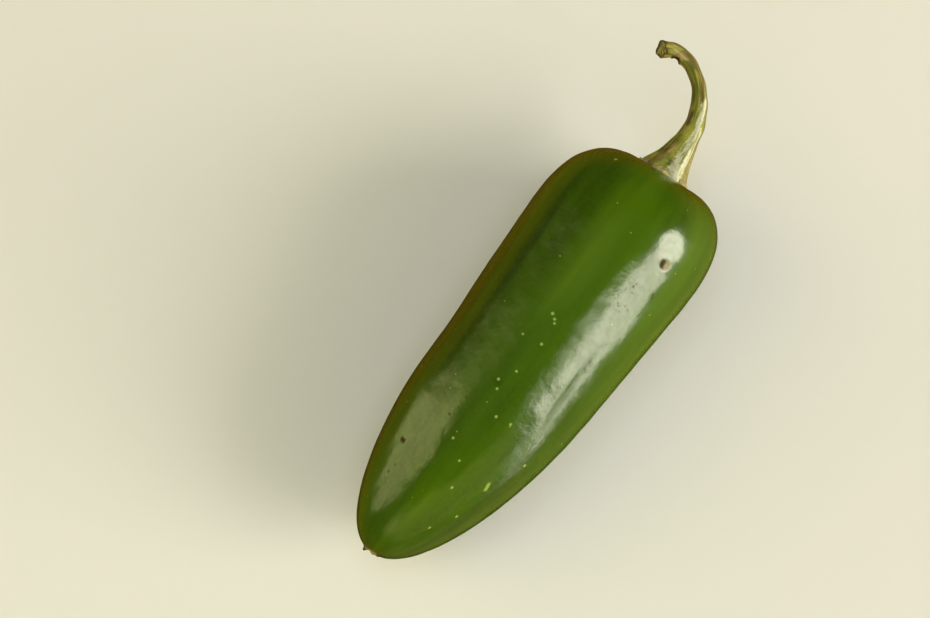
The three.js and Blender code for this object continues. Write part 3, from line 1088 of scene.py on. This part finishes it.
def make_calyx():
    """The calyx: a thin cap that hugs the broad end, with five blunt, slightly curled points."""
    share, bearing = np.meshgrid(np.linspace(0, 1, CALYX_RINGS), all_round(CALYX_SIDES), indexing="ij")
    ring = across(1, bearing)
    frilled = 1 + waves(ring, CALYX_FRILL) + waves(ring, CALYX_FINE_FRILL)
    points = 1 + CALYX_POINT_REACH * share ** 4 * np.cos(CALYX_POINTS * bearing)
    radius = CALYX_RADIUS * share * frilled * points
    flat = across(radius, bearing)
    collar = CALYX_COLLAR_HEIGHT / (1 + np.exp((share - CALYX_COLLAR_EDGE) / CALYX_COLLAR_SLOPE))
    curl = CALYX_CURL * share ** 12 * (1 + np.cos(CALYX_POINTS * bearing)) / 2
    veins = CALYX_VEIN_HEIGHT * share * np.cos(CALYX_VEINS * bearing)
    veins += waves(flat, CALYX_WRINKLES) * share
    seat = broad_end(radius, bearing)
    lengthwise = np.array([0.0, 1.0, 0.0])
    underside = seat + lengthwise * (CALYX_UNDERSIDE + curl)[..., None]
    top = seat + lengthwise * (CALYX_TOP + collar + curl + veins)[..., None]
    # From the middle of the underside out to the rim, and back over the top.
    rings = np.concatenate([underside, top[::-1]])
    places = np.concatenate([flat, flat[::-1]])
    layers = {"towards_rim": np.concatenate([share, share[::-1]])}
    calyx = make_piece("calyx_cap", rings, places, layers, [papery_calyx()])
    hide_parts("calyx")
    return calyx


# --- Stage ---

def make_floor():
    """A round floor that curves up into a wall. The wax doesn't mirror it, but the world around it."""
    rise = np.radians(np.arange(0, 91, 10))
    cove = zip(FLOOR_RADIUS - COVE_RADIUS * (1 - np.sin(rise)), COVE_RADIUS * (1 - np.cos(rise)))
    outline = [(0.0, 0.0), (FLAT_RADIUS, 0.0), *cove, (FLOOR_RADIUS, WALL_HEIGHT)]
    bearing = all_round(FLOOR_SIDES)
    rings = np.stack([
        np.stack([out * np.cos(bearing), out * np.sin(bearing), up + 0 * bearing], -1)
        for out, up in outline
    ])
    points = np.concatenate([rings[1:].reshape(-1, 3), rings[0, :1]])
    faces = tube_faces(len(rings) - 1, FLOOR_SIDES)
    faces += fan_faces(len(points) - 1, 0, FLOOR_SIDES, -1)
    floor = put_in_scene("floor", smooth_mesh("floor", points, faces, [pale_matt_board()]))
    floor.visible_glossy = False


def direction(bearing, height):
    """A unit vector, its bearing in degrees from +X towards +Y and its height in degrees."""
    bearing, height = np.radians((bearing, height))
    flat = np.cos(height)
    return Vector((flat * np.cos(bearing), flat * np.sin(bearing), np.sin(height)))


def make_softbox(name, bearing, spread, foot, top, lean, brightness, colour, shape="RECTANGLE"):
    """An upright light panel. Its brightness isn't its total, and lean turns it in its own plane."""
    width = 2 * PANEL_DISTANCE * np.tan(np.radians(spread / 2))
    low, high = PANEL_DISTANCE * np.tan(np.radians((foot, top)))
    area = width * (high - low) * (np.pi / 4 if shape == "ELLIPSE" else 1)
    lamp = bpy.data.lights.new(name, "AREA")
    lamp.shape = shape
    lamp.size = width
    lamp.size_y = high - low
    lamp.energy = brightness * np.pi * area
    lamp.color = linear(colour)[:3]
    panel = put_in_scene(name, lamp)
    towards = direction(bearing, 0)
    upright = towards.to_track_quat("Z", "Y")
    panel.location = MIDDLE + towards * PANEL_DISTANCE + Vector((0, 0, (low + high) / 2))
    panel.rotation_euler = (upright @ Quaternion((0, 0, 1), np.radians(lean))).to_euler()
    panel.visible_camera = False


def make_ceiling():
    """An even light from straight above, which the wax doesn't mirror."""
    lamp = bpy.data.lights.new("ceiling_fill", "AREA")
    lamp.size = CEILING_WIDTH
    lamp.energy = CEILING_BRIGHTNESS * np.pi * CEILING_WIDTH ** 2
    lamp.color = linear(CEILING_HUE)[:3]
    ceiling = put_in_scene("ceiling_fill", lamp)
    ceiling.location = MIDDLE + Vector((0, 0, PANEL_DISTANCE))
    ceiling.visible_camera = False
    ceiling.visible_glossy = False


def make_room():
    """The world that the wax mirrors: a brown table top below and a dim room above."""
    world = bpy.data.worlds.new("soft_room")
    bpy.context.scene.world = world
    world.use_nodes = True
    tree = world.node_tree
    tree.nodes.clear()
    place = add(tree, "TexCoord").outputs["Generated"]
    parts = add(tree, "SeparateXYZ", {}, {0: place})
    level = add(tree, "MapRange", {"From Min": -1.0, "From Max": 1.0}, {0: parts.outputs["Z"]})
    to_right = add(tree, "MapRange", {"From Min": 0.1, "From Max": 0.7}, {0: parts.outputs["X"]})
    table = add(
        tree, "Mix",
        {"data_type": "RGBA", 6: linear(TABLE_LEFT_HUE), 7: linear(TABLE_RIGHT_HUE)},
        {0: to_right.outputs[0]},
    )
    # Right under the pepper the table lies in its shadow.
    lit = add(tree, "MapRange", {"From Min": 0.02, "From Max": 0.12}, {0: level.outputs[0]})
    table = add(
        tree, "Mix", {"data_type": "RGBA", 6: linear(TABLE_SHADOW_HUE)},
        {0: lit.outputs[0], 7: table.outputs[2]},
    )
    above = add(tree, "MapRange", {"From Min": 0.45, "From Max": 0.51}, {0: level.outputs[0]})
    room = add(
        tree, "Mix", {"data_type": "RGBA", 7: linear(ROOM_HUE)},
        {0: above.outputs[0], 6: table.outputs[2]},
    )
    glow = add(tree, "Background", {"Strength": 1.0}, {"Color": room.outputs[2]})
    add(tree, "OutputWorld", {}, {"Surface": glow.outputs["Background"]})


def make_camera():
    """The camera, steeply above the pepper, a little towards its tip and its right side."""
    camera = put_in_scene("camera", bpy.data.cameras.new("camera"))
    camera.data.lens = LENS_MM
    camera.data.sensor_width = SENSOR_MM
    camera.data.clip_start = CAMERA_CLIP_START
    towards = direction(CAMERA_AZIMUTH - 90, CAMERA_HEIGHT)
    camera.location = MIDDLE + CAMERA_AIM + towards * CAMERA_DISTANCE
    camera.rotation_mode = "QUATERNION"
    camera.rotation_quaternion = towards.to_track_quat("Z", "Y")
    bpy.context.scene.camera = camera


bpy.context.scene.view_settings.view_transform = "Standard"
make_camera()
for piece in (make_pod(), make_stem(), make_calyx()):
    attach(piece, "root")
make_floor()
for panel in LIGHT_PANELS:
    make_softbox(*panel)
make_ceiling()
make_room()
